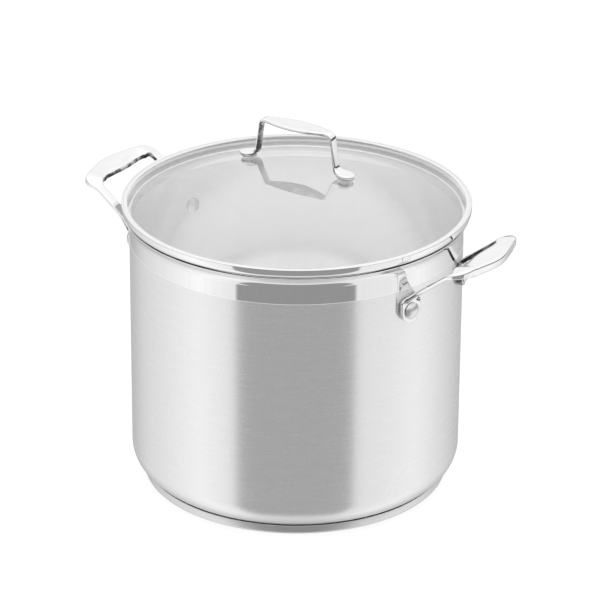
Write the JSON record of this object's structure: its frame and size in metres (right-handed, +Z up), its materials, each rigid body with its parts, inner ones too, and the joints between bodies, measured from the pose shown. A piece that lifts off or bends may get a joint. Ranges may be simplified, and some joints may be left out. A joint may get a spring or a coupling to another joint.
{
  "type": "water bath canner",
  "caption": "Tall round stainless steel canning pot with a capped base, riveted loop side handles and a domed glass lid with a steel rim and a bow handle.",
  "frame": {"origin": "centre of the underside of the base cap, on the surface that the pot stands on", "axes": "+Z up along the pot's axis; +X through the right side handle; the lid handle runs along X at rest"},
  "size_m": [0.366, 0.274, 0.2941],
  "materials": {
    "brushed_steel": "brushed round the wall, with a polished band below the lip",
    "polished_steel": "mirror polished stainless steel",
    "aluminium": "plain rolled plate",
    "tempered_glass": "clear tempered glass",
    "silicone": "matt translucent silicone"
  },
  "bodies": {
    "pot": {"pot_shell": "brushed_steel", "base_core": "aluminium", "base_cap": "polished_steel", "right_side_handle": "polished_steel", "left_side_handle": "polished_steel", "right_handle_front_rivet": "polished_steel", "right_handle_rear_rivet": "polished_steel", "left_handle_front_rivet": "polished_steel", "left_handle_rear_rivet": "polished_steel"},
    "lid": {"lid_glass": "tempered_glass", "lid_rim_band": "polished_steel", "lid_handle": "polished_steel", "right_pad_seal": "silicone", "left_pad_seal": "silicone", "right_lid_gasket": "silicone", "left_lid_gasket": "silicone", "right_lid_washer": "polished_steel", "left_lid_washer": "polished_steel", "right_lid_screw": "polished_steel", "left_lid_screw": "polished_steel"}
  },
  "joints": [
    {"name": "lid_lift", "type": "slide", "parent": "pot", "child": "lid", "axis": [0, 0, 1], "range_m": [0, 0.3]}
  ]
}
